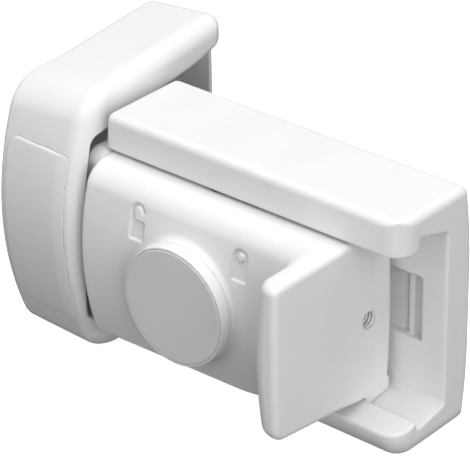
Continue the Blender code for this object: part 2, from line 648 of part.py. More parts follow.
def build_slider():
    body = build_slider_blank()
    join(body, knob_collar(), slider_apron(), slider_nose(), runner_tongue(False), runner_tongue(True))
    section = ((-6.4, 12.8), (20.0, 12.8), (20.0, 55.0), (-5.0, 55.0), (-6.4, 53.4))
    cavity = loft("slider_cavity", [[(x, y, z) for y, z in section] for x in (6.2, 74.5)], keep=False)
    cut(cavity, box("boss_low", 66.8, 76.0, -8.0, 14.8, 11.0, 22.4, keep=False),
        box("boss_high", 66.8, 76.0, -8.0, 14.8, 45.6, 56.0, keep=False),
        rod("thread_boss", "X", (SPRING_Y, SPRING_Z), 70.2, 76.0, 4.6, 20))
    cut(body, cavity, box("bolt_window", -7.0, 8.0, -0.1, 15.1, 13.8, 54.0, keep=False))
    cut(body, rod("knob_recess", "Y", (KNOB_X, KNOB_Z), -16.0, -9.0, KNOB_NECK_R + 0.3, 64),
        rod("spindle_hole", "Y", (KNOB_X, KNOB_Z), -10.0, -5.0, 4.4, 24),
        rod("pin_guide", "Z", (KNOB_X, PIN_Y), 54.0, 59.0, 2.3, 20),
        rod("thread_core", "X", (SPRING_Y, SPRING_Z), 69.0, 80.0, 2.05, 20))
    cut(body, thread_groove())
    cut(body, padlock_sign("open_sign", 20.0, 42.5, True), padlock_sign("closed_sign", 53.1, 42.7, False))

    bolt_plan = [(-20.0, 3.8), (-17.4, 0.3), (21.0, 0.3), (21.0, 14.8), (-17.4, 14.8), (-20.0, 12.6)]
    bolt = loft("latch_bolt", [
        [(x + (0.5 if x < 0 else 0.0), y, 14.2) for x, y in bolt_plan],
        [(x, y, 14.7) for x, y in bolt_plan], [(x, y, 53.1) for x, y in bolt_plan],
        [(x + (0.5 if x < 0 else 0.0), y, 53.6) for x, y in bolt_plan]])
    cut(bolt, rod("bolt_bore", "X", (SPRING_Y, SPRING_Z), 2.5, 23.0, 2.5, 20))
    back = box("slider_back_plate", 6.6, 74.1, 15.1, 16.7, 13.2, 54.6, round_by=0.3, segments=1)
    cut(back, box("finger_slot", 44.6, 63.0, 14.0, 18.0, 25.8, 40.0, keep=False))
    spots = (("back_plate_screw_1", 12.0, 20.0), ("back_plate_screw_2", 12.0, 48.0),
             ("back_plate_screw_3", 70.4, 18.0), ("back_plate_screw_4", 70.4, 50.0))
    for name, x, z in spots:
        for piece in ((back, bolt) if x < 30 else (back, body)):
            cut(piece, sink("Y", (x, z), 16.6, 6.0, head_r=2.5, shank_r=1.25, head_depth=1.35))
        screw(name, "Y", (x, z), 16.6, 6.0, head_r=2.5, shank_r=1.25, head_depth=1.35)

    shoes = []
    for name, flip in (("slide_shoe_lower", False), ("slide_shoe_upper", True)):
        section = [(8.1, 10.1), (8.1, GROOVE_LOW + 0.45), (14.5, 9.2), (14.5, 10.1)]
        if flip:
            section = [(8.1, 57.35), (8.1, 60.85), (14.5, 58.9), (14.5, 57.35)]
        shoe = loft(name, [[(x, y, z) for y, z in section] for x in (8.0, 62.0)])
        for x in (16.0, 54.0):
            if flip:
                join(shoe, rod("peg", "Z", (x, 11.3), 55.4, 58.0, 1.4, 12))
                cut(body, rod("peg_hole", "Z", (x, 11.3), 54.0, 58.0, 1.75, 12))
            else:
                join(shoe, rod("peg", "Z", (x, 11.3), 9.6, 12.3, 1.4, 12))
                cut(body, rod("peg_hole", "Z", (x, 11.3), 9.0, 14.0, 1.75, 12))
        shoes.append(shoe)
    coil("return_spring", "X", (SPRING_Y, SPRING_Z), 22.0, 57.0, 3.5, 0.55, 9.0)
    return body, bolt, back, shoes


# ---------------------------------------------------------------- lock knob and pin
def build_lock():
    centre = (KNOB_X, KNOB_Z)
    knob = turned("knob_boss", "Y", centre, [
        (KNOB_REAR, KNOB_NECK_R - 0.4), (KNOB_REAR - 0.4, KNOB_NECK_R), (-12.6, KNOB_NECK_R), (-12.61, KNOB_R),
        (KNOB_FRONT + 0.5, KNOB_R - 0.02), (KNOB_FRONT + 0.2, KNOB_R - 0.12), (KNOB_FRONT + 0.1, KNOB_R - 0.3)], 64)
    cut(knob, rod("disc_seat", "Y", centre, KNOB_FRONT - 1.0, KNOB_FRONT + 1.1, DISC_R + 0.3, 64))
    ring = rod("knob_hollow", "Y", centre, KNOB_REAR + 1.0, -12.6, 14.4, 40)
    cut(ring, rod("knob_hub", "Y", centre, KNOB_REAR + 2.0, -14.0, 6.4, 24))
    cut(knob, ring)
    join(knob, rod("spindle", "Y", centre, -10.5, -6.2, 4.05, 24),
         turned("spindle_hex", "Y", centre, [(-7.0, 3.2), (-2.7, 3.2)], 6, keep=False))
    cut(knob, rod("screw_bore", "Y", centre, -9.5, 0.0, 1.55, 12))
    disc = turned("knob_disc", "Y", centre, [
        (KNOB_FRONT + 0.8, DISC_R), (KNOB_FRONT + 0.2, DISC_R), (KNOB_FRONT - 0.03, DISC_R - 0.2)], 64)

    cam_outline = []
    base_r, steps = 9.0, 60
    for i in range(steps):
        angle = 360.0 * i / steps
        rise = (angle - 90.0) / 90.0
        if 72.0 <= angle <= 198.0:
            radius = 15.2 + PIN_LIFT * rise
        elif 60.0 <= angle < 72.0:
            radius = base_r + (14.4 - base_r) * (angle - 60.0) / 12.0
        elif 198.0 < angle <= 216.0:
            radius = 20.0 + (base_r - 20.0) * (angle - 198.0) / 18.0
        else:
            radius = base_r
        radius = min(radius, 19.6)
        a = math.radians(angle)
        cam_outline.append((KNOB_X + radius * math.cos(a), KNOB_Z + radius * math.sin(a)))
    cam = loft("lock_cam", [[(x, -6.05, z) for x, z in cam_outline], [(x, -2.8, z) for x, z in cam_outline]])
    cut(cam, turned("hex_hole", "Y", centre, [(-7.0, 3.55), (-1.0, 3.55)], 6, keep=False))
    turned("cam_screw", "Y", centre, [
        (-0.9, 2.0), (-1.1, 4.6), (-2.4, 4.6), (-2.4, 1.25), (-8.4, 1.25), (-8.9, 0.8)], 18)

    pin = turned("lock_pin", "Z", (KNOB_X, PIN_Y), [(47.4, 2.0), (56.2, 2.0), (56.6, 1.6)], 18)
    join(pin, box("pin_foot", KNOB_X - 2.4, KNOB_X + 2.4, -5.9, 6.0, 46.95, 49.3, keep=False))
    coil("lock_pin_spring", "Z", (KNOB_X, PIN_Y), 49.9, 54.5, 2.75, 0.28, 3.0, steps=10, sides=5)
    return knob, disc, cam, pin


def finish_parts():
    looks = {
        "white": ((0.90, 0.90, 0.90), 0.55, 0.0), "grey": ((0.50, 0.50, 0.50), 0.7, 0.0),
        "steel": ((0.55, 0.55, 0.56), 0.35, 1.0), "rubber": ((0.06, 0.06, 0.06), 0.8, 0.0),
        "zinc": ((0.50, 0.51, 0.53), 0.4, 1.0), "nylon": ((0.75, 0.75, 0.73), 0.5, 0.0)}
    kinds = {
        "white": ("catch_shell", "catch_panel", "rail_channel", "slider_body", "knob_boss"),
        "grey": ("knob_disc",), "rubber": ("catch_buffer",), "zinc": ("spring_anchor", "lock_cam"),
        "nylon": ("keeper_block", "latch_bolt", "slider_back_plate", "slide_shoe_lower",
                  "slide_shoe_upper", "lock_pin")}
    for item in PARTS.objects:
        kind = next((k for k, names in kinds.items() if item.name in names), "steel")
        colour, roughness, metallic = looks[kind]
        item.data.materials.clear()
        item.data.materials.append(material(item.name, colour, roughness, metallic))


build_wall_catch()
build_gate_rail()
build_slider()
build_lock()
finish_parts()
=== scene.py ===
"""Stair gate latch: finished mouldings, materials, floor, soft light and camera around the CAD frame.

The frame is in metres: X runs along the gate, -Y is the front, Z is up. The moulded pieces are drawn in
millimetres along the same axes, from the gate channel's lower front left corner.
"""
import json
import math

import bpy
import numpy as np
from mathutils import Matrix, Vector


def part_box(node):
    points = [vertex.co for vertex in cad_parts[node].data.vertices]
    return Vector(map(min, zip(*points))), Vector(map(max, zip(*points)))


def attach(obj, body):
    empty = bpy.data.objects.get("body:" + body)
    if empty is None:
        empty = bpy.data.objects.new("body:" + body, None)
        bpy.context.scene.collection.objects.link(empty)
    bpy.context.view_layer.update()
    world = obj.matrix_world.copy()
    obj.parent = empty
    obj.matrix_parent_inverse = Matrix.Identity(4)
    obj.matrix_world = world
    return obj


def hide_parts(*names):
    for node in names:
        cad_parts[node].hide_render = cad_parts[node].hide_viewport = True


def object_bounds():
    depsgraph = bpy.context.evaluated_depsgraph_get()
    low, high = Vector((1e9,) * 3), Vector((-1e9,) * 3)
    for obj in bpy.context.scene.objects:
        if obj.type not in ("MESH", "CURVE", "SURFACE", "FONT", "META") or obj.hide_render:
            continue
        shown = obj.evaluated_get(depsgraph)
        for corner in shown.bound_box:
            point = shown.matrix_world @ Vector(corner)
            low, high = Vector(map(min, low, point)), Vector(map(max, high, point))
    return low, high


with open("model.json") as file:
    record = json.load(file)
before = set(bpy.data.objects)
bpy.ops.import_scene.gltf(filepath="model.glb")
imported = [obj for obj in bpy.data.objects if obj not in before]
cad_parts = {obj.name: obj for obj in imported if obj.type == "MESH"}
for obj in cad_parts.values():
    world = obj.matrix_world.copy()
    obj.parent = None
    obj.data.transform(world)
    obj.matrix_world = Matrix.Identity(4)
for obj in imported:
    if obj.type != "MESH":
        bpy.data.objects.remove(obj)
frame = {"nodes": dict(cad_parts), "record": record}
CAD_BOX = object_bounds()
NODES = frame["nodes"]
SLOT_OF = {part["node"]: part["material_slot"] for part in frame["record"]["subparts"]}

# ---------------------------------------------------------------- camera
AZIMUTH, ELEVATION, ROLL = 41.04, 29.08, -0.92      # degrees
DISTANCE, LENS, SENSOR = 0.700, 217.15, 36.0
LOOK_AT_DRAWN = (43.19, 0.0, 47.64)                 # in the drawing's millimetres

# ---------------------------------------------------------------- light
AIR_BELOW, AIR_ABOVE = 0.11, 0.45                   # strength of the sky under and over the part
AIR_LOW, AIR_HIGH = -0.6, 0.7                       # a direction's Z, between which the sky brightens
FLOOR_GLOW = 0.8
LIGHTS_AIM = (0.06, -0.04, 0.0)
SOFTBOXES = (                                       # name, place, size, watts
    ("overhead_softbox", (0.06, -0.08, 0.55), (0.5, 0.5), 2.25),
    ("right_softbox", (0.55, -0.31, 0.18), (0.35, 0.45), 1.6),
    ("front_softbox", (-0.04, -0.62, 0.24), (0.5, 0.4), 0.42),
)
FLOOR_HALF, FLOOR_GAP = 3.0, 0.0003


# ---------------------------------------------------------------- node helpers
class Shader:
    """A small builder around one material's node tree."""

    def __init__(self, name):
        self.material = bpy.data.materials.new(name)
        self.material.use_nodes = True
        self.tree = self.material.node_tree
        self.surface = self.tree.nodes["Principled BSDF"]
        self.coords = self.tree.nodes.new("ShaderNodeTexCoord").outputs["Object"]

    def link(self, source, socket):
        self.tree.links.new(source, socket)

    def node(self, kind, **inputs):
        made = self.tree.nodes.new(kind)
        for key, value in inputs.items():
            made.inputs[key].default_value = value
        return made

    def noise(self, size, detail, rough, coords=None):
        """Cloudy pattern whose patches are about size metres across."""
        made = self.node("ShaderNodeTexNoise", Scale=1.0 / size, Detail=detail, Roughness=rough)
        self.link(coords or self.coords, made.inputs["Vector"])
        return made.outputs["Fac"]

    def stretched(self, x, y, z):
        """Object coordinates scaled along each axis."""
        made = self.node("ShaderNodeMapping")
        made.inputs["Scale"].default_value = (x, y, z)
        self.link(self.coords, made.inputs["Vector"])
        return made.outputs["Vector"]

    def remap(self, value, low, high, to_low, to_high):
        """Takes low..high to to_low..to_high."""
        made = self.node("ShaderNodeMapRange")
        self.link(value, made.inputs["Value"])
        for key, number in (("From Min", low), ("From Max", high), ("To Min", to_low), ("To Max", to_high)):
            made.inputs[key].default_value = number
        return made.outputs["Result"]

    def math(self, operation, a, b):
        made = self.tree.nodes.new("ShaderNodeMath")
        made.operation = operation
        for socket, value in zip(made.inputs, (a, b)):
            if isinstance(value, bpy.types.NodeSocket):
                self.link(value, socket)
            else:
                socket.default_value = value
        return made.outputs[0]

    def mix(self, factor, a, b):
        """Colour a where the factor is 0, b where it is 1; sockets 6 and 7 are the node's two colours."""
        made = self.tree.nodes.new("ShaderNodeMix")
        made.data_type = "RGBA"
        for key, value in ((0, factor), (6, a), (7, b)):
            if isinstance(value, bpy.types.NodeSocket):
                self.link(value, made.inputs[key])
            else:
                made.inputs[key].default_value = value if key == 0 else (*value, 1.0)
        return made.outputs[2]

    def edge_mask(self, radius):
        """1 on corners sharper than the radius, 0 on flat stretches."""
        bevel = self.tree.nodes.new("ShaderNodeBevel")
        bevel.samples = 4
        bevel.inputs["Radius"].default_value = radius
        geometry = self.tree.nodes.new("ShaderNodeNewGeometry")
        dot = self.tree.nodes.new("ShaderNodeVectorMath")
        dot.operation = "DOT_PRODUCT"
        self.link(bevel.outputs["Normal"], dot.inputs[0])
        self.link(geometry.outputs["Normal"], dot.inputs[1])
        return self.remap(dot.outputs["Value"], 0.995, 0.9, 0.0, 1.0), bevel.outputs["Normal"]

    def crevice(self, reach):
        """1 deep in corners and gaps no wider than reach, 0 in the open."""
        occlusion = self.node("ShaderNodeAmbientOcclusion", Distance=reach)
        occlusion.samples = 6
        return self.remap(occlusion.outputs["AO"], 0.35, 0.95, 1.0, 0.0)

    def bump(self, height, distance, strength, normal=None):
        made = self.node("ShaderNodeBump", Distance=distance, Strength=strength)
        self.link(height, made.inputs["Height"])
        if normal:
            self.link(normal, made.inputs["Normal"])
        return made.outputs["Normal"]


def scaled(colour, factor):
    return tuple(min(1.0, c * factor) for c in colour)


def moulded(name, colour, crevice_shade, roughness, grain_size, grain_depth):
    """Injection-moulded plastic: fine spark-eroded grain, soft flow clouds, cleaner rubbed edges, and
    painted shade in corners and gaps.
    """
    s = Shader(name)
    clouds = s.noise(0.022, 3.0, 0.55)
    mottle = s.noise(0.0016, 3.0, 0.6)
    grain = s.noise(grain_size, 2.0, 0.65)
    edges, soft = s.edge_mask(0.0004)
    pale, deep = scaled(colour, 1.018), scaled(colour, 0.965)
    tone = s.mix(s.remap(clouds, 0.3, 0.7, 0.0, 1.0), deep, colour)
    tone = s.mix(s.remap(mottle, 0.35, 0.7, 0.0, 0.35), tone, pale)
    # Painted shade: in corners and gaps found by ambient occlusion, the colour darkens towards the given
    # shade colour.
    tone = s.mix(s.math("MULTIPLY", s.crevice(0.0035), 0.35), tone, crevice_shade)
    tone = s.mix(s.math("MULTIPLY", edges, 0.25), tone, pale)
    s.link(tone, s.surface.inputs["Base Color"])
    sheen = s.math("ADD", s.remap(clouds, 0.3, 0.7, roughness - 0.03, roughness + 0.04),
                   s.remap(grain, 0.3, 0.7, -0.03, 0.03))
    s.link(s.math("SUBTRACT", sheen, s.math("MULTIPLY", edges, 0.06)), s.surface.inputs["Roughness"])
    mottled = s.bump(mottle, grain_depth, 0.5, soft)
    s.link(s.bump(grain, grain_depth, 1.0, mottled), s.surface.inputs["Normal"])
    return s.material


def metal(name, colour, dark, roughness, along=(1, 1, 1), grain=0.0004, metallic=1.0):
    """Plated or cast metal with drawn streaks, dull spots and brighter rubbed edges."""
    s = Shader(name)
    streaks = s.noise(grain, 3.0, 0.6, s.stretched(*along))
    spots = s.noise(0.002, 4.0, 0.6)
    edges, soft = s.edge_mask(0.00025)
    tone = s.mix(s.remap(streaks, 0.3, 0.7, 0.0, 1.0), dark, colour)
    tone = s.mix(s.remap(spots, 0.55, 0.75, 0.0, 0.5), tone, dark)
    tone = s.mix(s.math("MULTIPLY", edges, 0.5), tone, scaled(colour, 1.25))
    s.link(tone, s.surface.inputs["Base Color"])
    s.link(s.remap(streaks, 0.3, 0.7, roughness - 0.07, roughness + 0.08), s.surface.inputs["Roughness"])
    s.link(s.bump(streaks, 0.00001, 1.0, soft), s.surface.inputs["Normal"])
    s.surface.inputs["Metallic"].default_value = metallic
    return s.material


def rubber(name):
    """Black rubber with fine pits and a faint grey bloom."""
    s = Shader(name)
    pits = s.noise(0.0005, 4.0, 0.7)
    bloom = s.noise(0.004, 3.0, 0.5)
    tone = s.mix(s.remap(bloom, 0.35, 0.7, 0.0, 0.6), (0.025, 0.025, 0.026), (0.06, 0.06, 0.062))
    s.link(tone, s.surface.inputs["Base Color"])
    s.link(s.remap(pits, 0.3, 0.7, 0.68, 0.9), s.surface.inputs["Roughness"])
    s.link(s.bump(pits, 0.00004, 1.0), s.surface.inputs["Normal"])
    return s.material


# The second colour that each moulded look gets is the painted shade of its corners and gaps.
WHITE, WHITE_CREVICE_SHADE = (0.83, 0.83, 0.83), (0.56, 0.555, 0.54)
PLATE_TONE, PLATE_DARK = (0.84, 0.84, 0.845), (0.76, 0.76, 0.765)
LOOKS = {
    "white_moulding": lambda n: moulded(n, WHITE, WHITE_CREVICE_SHADE, 0.50, 0.00022, 0.00002),
    "grey_inlay": lambda n: moulded(n, (0.74, 0.74, 0.74), (0.60, 0.60, 0.59), 0.62, 0.0003, 0.00003),
    "nylon": lambda n: moulded(n, (0.72, 0.715, 0.69), (0.5, 0.49, 0.46), 0.42, 0.0004, 0.00001),
    "steel": lambda n: metal(n, (0.56, 0.55, 0.55), (0.40, 0.39, 0.39), 0.38, (1, 1, 0.08)),
    "zinc": lambda n: metal(n, (0.50, 0.51, 0.53), (0.36, 0.37, 0.39), 0.48),
    "rubber": rubber,
}


def dress_nodes():
    """Gives every CAD node its own material, by its slot in the record."""
    for name, obj in NODES.items():
        made = LOOKS[SLOT_OF[name]](name + "_finish")
        if name == "wall_plate":
            made = metal(name + "_galvanised", PLATE_TONE, PLATE_DARK, 0.62, (1, 1, 0.06), 0.0012, 0.05)
        for holder in obj.material_slots:
            holder.material = made
        if not obj.material_slots:
            obj.data.materials.append(made)


# ---------------------------------------------------------------- sizes of the mouldings, in drawn mm
PLATE_CORNER = (-26.3, 49.1, 1.0)                   # least corner of the wall plate
BASE = Vector(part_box("wall_plate")[0]) - 0.001 * Vector(PLATE_CORNER)

RAIL_START, RAIL_BOW, RAIL_MID = 0.4, 1.7, 33.9     # left end, its bow, and the middle height
RAIL_TALL, RAIL_END, RAIL_BACK = 67.8, 94.7, 29.0
RAIL_EDGE, RAIL_END_EDGE, RAIL_FOOT = 2.2, 5.5, 7.3
RAIL_HOLES = ((12.0, 18.5), (42.0, 22.5))           # x and the floor that each one starts from
HOLE_HEAD_R, HOLE_R = 4.2, 2.2
POCKET_Z = (25.0, 43.0)
POCKET_STEPS = ((30.0, 74.0, 22.5), (73.9, 81.7, 21.4), (81.6, 83.7, 20.4), (83.6, 87.0, 21.4))
LIP_BACK, MOUTH_TOP, GROOVE_BACK = 7.6, 57.8, 18.5
PIN_Y, PIN_SLOT_HALF = 3.5, 3.2
TRAVEL = 12.0                                       # of the slider

CATCH_LEFT, CATCH_RIM, CATCH_FRONT, CATCH_BACK = -29.6, -1.9, -11.6, 50.3
CATCH_MID, CATCH_BOW = 34.0, 78.0                   # height and radius of the front's bow
CATCH_TOP, CATCH_FOOT = 68.6, -3.55                 # at the left end of the front
RIDGE_X = -5.3                                      # where the front turns towards the rim
MOUTH_LEFT, MOUTH_LOW, MOUTH_HIGH = -26.4, 8.0, 60.8    # of the housing's hollow
SCREW_BLOCK = ((-40.0, -11.6), (38.0, 70.0), (60.6, 80.0))
PLATE_SEAT = ((-26.6, -7.3), (48.8, 80.0), (0.7, 71.3))
PANEL_LEFT, PANEL_RIGHT, PANEL_FOOT, PANEL_TOP = -26.95, -5.15, 8.6, 56.6
PANEL_RISE, PANEL_DEPTH, PANEL_GAP = 0.38, 1.2, 0.2

SLIDER_FRONT, SLIDER_LEFT, SLIDER_RIGHT, SLIDER_BACK = -11.4, 0.6, 79.0, 17.0
SLIDER_HIGH, SLIDER_MID = 57.0, 33.0
FACE_MID, FACE_BOW = 32.0, 80.0
WING_LEFT, WING_TIP = 72.5, -27.2
SLIDER_HOLLOW, SKIN = ((6.2, 74.5), (-6.4, 30.0), (12.8, 55.0)), 1.3
BOLT_WINDOW = ((-7.0, 8.0), (-0.1, 15.1), (13.8, 54.0))
TONGUE_START, TONGUE_BACK, TONGUE_GAP = 63.0, 16.8, 0.06
KNOB_X, KNOB_Z, KNOB_R, KNOB_NECK_R = 35.9, 31.2, 16.2, 15.6
KNOB_FRONT, COLLAR_TOP, KNOB_REAR = -15.7, -12.3, -9.3
SPINDLE_R, SPINDLE_HOLE_R = 4.05, 4.4
DISC_R = 15.5
THREAD_Y, THREAD_Z, THREAD_R, THREAD_PITCH = 8.1, 32.9, 2.6, 0.95
OPEN_SIGN_AT, CLOSED_SIGN_AT, SIGN_DEPTH = (19.5, 42.5), (53.1, 42.7), 0.6
SIGN_HALF, SHACKLE_R, SHACKLE_HALF = 2.3, 1.7, 0.45


def in_frame(x, y, z):
    """Drawn millimetres to frame metres."""
    return BASE + Vector((x, y, z)) * 0.001


# ---------------------------------------------------------------- shapes
# A shape is a function of drawn x, y, z that is the distance to its surface, negative inside.
def meet(a, b, r):
    """Intersection of two shapes with a rounded edge of radius r."""
    return np.minimum(np.maximum(a, b), -r) + np.hypot(np.maximum(a + r, 0.0), np.maximum(b + r, 0.0))


def fuse(a, b, r):
    """Union of two shapes with a fillet of radius r."""
    return np.maximum(np.minimum(a, b), r) - np.hypot(np.maximum(r - a, 0.0), np.maximum(r - b, 0.0))


def cut(shape, tool):
    """Shape without the tool."""
    return np.maximum(shape, -tool)


def span(v, low, high):
    """Slab between two planes."""
    return np.maximum(low - v, v - high)


def block(x, y, z, xs, ys, zs):
    return np.maximum(np.maximum(span(x, *xs), span(y, *ys)), span(z, *zs))


def ramp(v, start, end):
    """0 up to start, 1 from end on, and a smooth rise between."""
    t = np.clip((v - start) / (end - start), 0.0, 1.0)
    return t * t * (3.0 - 2.0 * t)


def hump(v, middle, half):
    """1 at the middle, falling to 0 at half a width to each side."""
    return np.maximum(0.0, 1.0 - ((v - middle) / half) ** 2)


def catch_outside(x, y, z):
    """Housing as if solid: bowed front, and a top and underside that spread towards rim and wall."""
    t = (x - CATCH_LEFT) / (CATCH_RIM - CATCH_LEFT)
    s = (y - CATCH_FRONT) / (CATCH_BACK - CATCH_FRONT)
    steep = (z - CATCH_MID) / CATCH_BOW
    front = (CATCH_FRONT + 1.1 * (1 - t) + (z - CATCH_MID) * steep / 2 - y) / np.sqrt(1.0 + steep * steep)
    top = z - (CATCH_TOP + 2.8 * t + (6.15 - 0.2 * t) * s)
    low = CATCH_FOOT - 0.35 * t - 0.35 * s - z
    ridge = (x - RIDGE_X) * 0.42 + front * 0.907
    f = meet(meet(meet(front, ridge, 0.7), top, 6.5), low, 6.0)
    f = meet(f, y - CATCH_BACK, 4.0)
    leaned = x + 0.4 * np.maximum(y, 0.0) / CATCH_BACK * t
    f = meet(f, CATCH_LEFT - leaned, 2.2 + 2.0 * ramp(y, 4.0, 14.0))
    softer = np.maximum(ramp(y, 0.0, 10.0), ramp(-z, -9.0, -2.0))
    return meet(f, leaned - CATCH_RIM, 3.2 + 2.0 * softer)


def mouth_front(z):
    """Inner face of the housing's front wall."""
    return -6.9 + (z - 28.0) ** 2 / 240.0


def catch_space(x, y, z):
    """Hollow of the housing, open to the gate and to the wall, with a block for the upper screw."""
    drop = 0.8 * (1 - (x + 27.0) / 25.0)
    f = meet(mouth_front(z) - y, z - (MOUTH_HIGH + 0.148 * y - drop), 1.5)
    f = meet(f, MOUTH_LOW - z, 2.5)
    f = meet(f, MOUTH_LEFT - x, 1.2)
    return cut(f, block(x, y, z, *SCREW_BLOCK))


def panel_plan(x, z):
    """Outline of the front panel, with round corners and a bowed right side."""
    right = PANEL_RIGHT - 0.3 * (1 - ((z - 32.6) / 23.8) ** 2)
    f = meet(PANEL_LEFT - x, z - PANEL_TOP, 4.0)
    f = meet(f, PANEL_FOOT - z, 3.0)
    return meet(f, x - right, 1.2)


def catch_housing(x, y, z):
    """Hollow housing with the wall plate's seat in its back and the panel's recess in its front."""
    outside = catch_outside(x, y, z)
    f = meet(outside, -catch_space(x, y, z), 0.9 + 1.4 * ramp(y, 36.0, 46.0))
    seat = block(x, y, z, *PLATE_SEAT)
    recess = np.maximum(panel_plan(x, z) + 0.25, -(outside + PANEL_DEPTH + PANEL_GAP))
    return cut(cut(f, seat), np.maximum(recess, y - 12.0))


def catch_front_panel(x, y, z):
    """Thin cover that stands a little proud and runs out flush at the ridge."""
    outside = catch_outside(x, y, z)
    raised = 1.0 - ramp(x, -9.5, -5.6)
    f = meet(outside - PANEL_RISE * raised, panel_plan(x, z), 0.05 + 0.5 * raised)
    return np.maximum(cut(f, outside + PANEL_DEPTH), y - 12.0)


def lip_low(y):
    """Upper side of the rail's lower lip, which rises towards the back."""
    return 8.2 + 0.237 * np.clip(y, 0.0, LIP_BACK)


def groove_low(y):
    """Floor of the lower runner groove."""
    return 7.5 + 0.193 * (y - LIP_BACK)


def groove_high(y):
    """Ceiling of the upper runner groove."""
    return RAIL_MID + 27.6 - 0.303 * (y - LIP_BACK)


def rail_outside(x, y, z):
    """Channel as if solid, with a bowed left end and bowed back edges."""
    lift = np.maximum(np.abs(z - RAIL_MID) - 10.2, 0.0)
    back = y - (RAIL_BACK - 0.004 * lift * lift)
    front_half = meet(meet(-y, z - RAIL_TALL, RAIL_EDGE), -z, RAIL_FOOT)
    back_half = meet(meet(back, z - RAIL_TALL, 1.8), -z, 4.2)
    left = RAIL_START - RAIL_BOW * hump(z, RAIL_MID, RAIL_MID) - x
    f = meet(np.maximum(front_half, back_half), left, RAIL_EDGE)
    f = meet(f, x - RAIL_END, RAIL_EDGE)
    return np.maximum(f, meet(meet(-y, -z, RAIL_FOOT), x - RAIL_END, RAIL_END_EDGE))


def rail_channel(x, y, z):
    """Channel with its mouth, runner grooves, stepped pocket, screw holes and lock pin slot."""
    mouth = np.maximum(np.maximum((lip_low(y) - z) * 0.97, z - MOUTH_TOP), y - 8.4)
    groove = np.maximum((groove_low(y) - z) * 0.98, (z - groove_high(y)) * 0.957)
    groove = meet(meet(LIP_BACK - y, y - GROOVE_BACK, 0.3), groove, 0.8)
    f = meet(rail_outside(x, y, z), -fuse(mouth, groove, 0.3 + 1.4 * ramp(z, 28.0, 38.0)), 0.6)
    for left, right, floor in POCKET_STEPS:
        f = cut(f, block(x, y, z, (left, right), (17.0, floor), POCKET_Z))
    for centre, start in RAIL_HOLES:
        radius = np.clip(HOLE_HEAD_R - (y - start - 0.3) * 1.05, HOLE_R, HOLE_HEAD_R)
        f = cut(f, np.maximum(np.hypot(x - centre, z - RAIL_MID) - radius, start - 1.0 - y))
    slot = (KNOB_X - PIN_SLOT_HALF, KNOB_X + TRAVEL + PIN_SLOT_HALF)
    return cut(f, block(x, y, z, slot, (PIN_Y - 2.5, PIN_Y + 2.5), (57.0, 62.6)))


def slider_face(z):
    """Bowed front of the slider."""
    return SLIDER_FRONT + (z - FACE_MID) ** 2 / (2 * FACE_BOW)


def padlock_closed(u, v):
    """Sign of a shut padlock, with the eye of its shackle left standing."""
    body = np.maximum(np.abs(u) - SIGN_HALF, span(v, 0.0, 5.85))
    crown = np.maximum(np.hypot(u, v - 5.85) - SIGN_HALF, 5.8 - v)
    return np.maximum(np.minimum(body, crown), 1.1 - np.hypot(u, v - 6.1))


def padlock_open(u, v):
    """Sign of an open padlock, whose shackle stands on one leg."""
    body = np.maximum(np.abs(u) - SIGN_HALF, span(v, 0.0, 5.2))
    arch = np.maximum(np.abs(np.hypot(u, v - 7.4) - SHACKLE_R) - SHACKLE_HALF, 7.2 - v)
    leg = np.maximum(np.abs(u + SHACKLE_R) - SHACKLE_HALF, span(v, 5.0, 7.4))
    return np.minimum(np.minimum(body, arch), leg)


def slider_outside(x, y, z):
    """Slider as if solid: bowed front that sweeps into the finger wing at the right."""
    swell = hump(z, 35.0, 21.5)
    steep = (z - FACE_MID) / FACE_BOW
    face = (slider_face(z) - y) / np.sqrt(1.0 + steep * steep)
    wing = meet(WING_LEFT - 1.5 * swell - x, WING_TIP - 0.5 * swell - y, 4.6)
    f = fuse(face, wing, 9.0 + 3.0 * swell)
    on_wing = ramp(x, 62.0, 72.0) * ramp(-y, 6.0, 14.0)
    over_lip = 8.55 + 0.237 * np.maximum(y, 0.0) + np.minimum(y, 0.0)
    low_line = np.maximum(8.2 + 0.022 * x, np.minimum(over_lip, 10.4))
    wing_low = 10.5 + 0.113 * np.maximum(7.0 - y, 0.0)
    low_line = low_line + (wing_low - low_line) * ramp(x, 50.0, 72.0)
    f = meet(f, z - SLIDER_HIGH, 5.5 - 3.3 * on_wing)
    f = meet(f, low_line - z, 1.2 + 2.0 * on_wing)
    right = x - SLIDER_RIGHT + 0.07 * ramp(y, 9.3, 9.9)
    f = meet(f, right, 1.7 - 0.7 * ramp(y, -4.0, 6.0))
    f = meet(f, SLIDER_LEFT + (z - SLIDER_MID) ** 2 / 900.0 - x, 1.4)
    back = SLIDER_BACK - ((z - SLIDER_MID) / 22.0) ** 2 * ramp(x, 60.0, 79.0)
    return meet(f, y - back, 0.6)


def slider_nose(x, y, z):
    """Neck that reaches into the catch, set back behind the housing's front wall."""
    front = mouth_front(z) + 1.5 + 1.8 * hump(z, 32.0, 22.0)
    f = meet(meet(front - y, z - 56.9, 3.8), 12.4 - z, 1.6)
    f = meet(f, y - 16.6, 1.2)
    return np.maximum(meet(f, -5.0 - x, 1.2), x - 8.0)


def slider_tongues(x, y, z):
    """Dovetail tongues at the right end that run in the rail's grooves."""
    lower = np.maximum(groove_low(y) + TONGUE_GAP - z, z - 12.9)
    upper = np.maximum(z - groove_high(y) + TONGUE_GAP, 54.9 - z)
    sides = np.maximum(span(y, LIP_BACK + 0.08, TONGUE_BACK), span(x, TONGUE_START, SLIDER_RIGHT - 0.1))
    return np.maximum(np.minimum(lower, upper), sides)


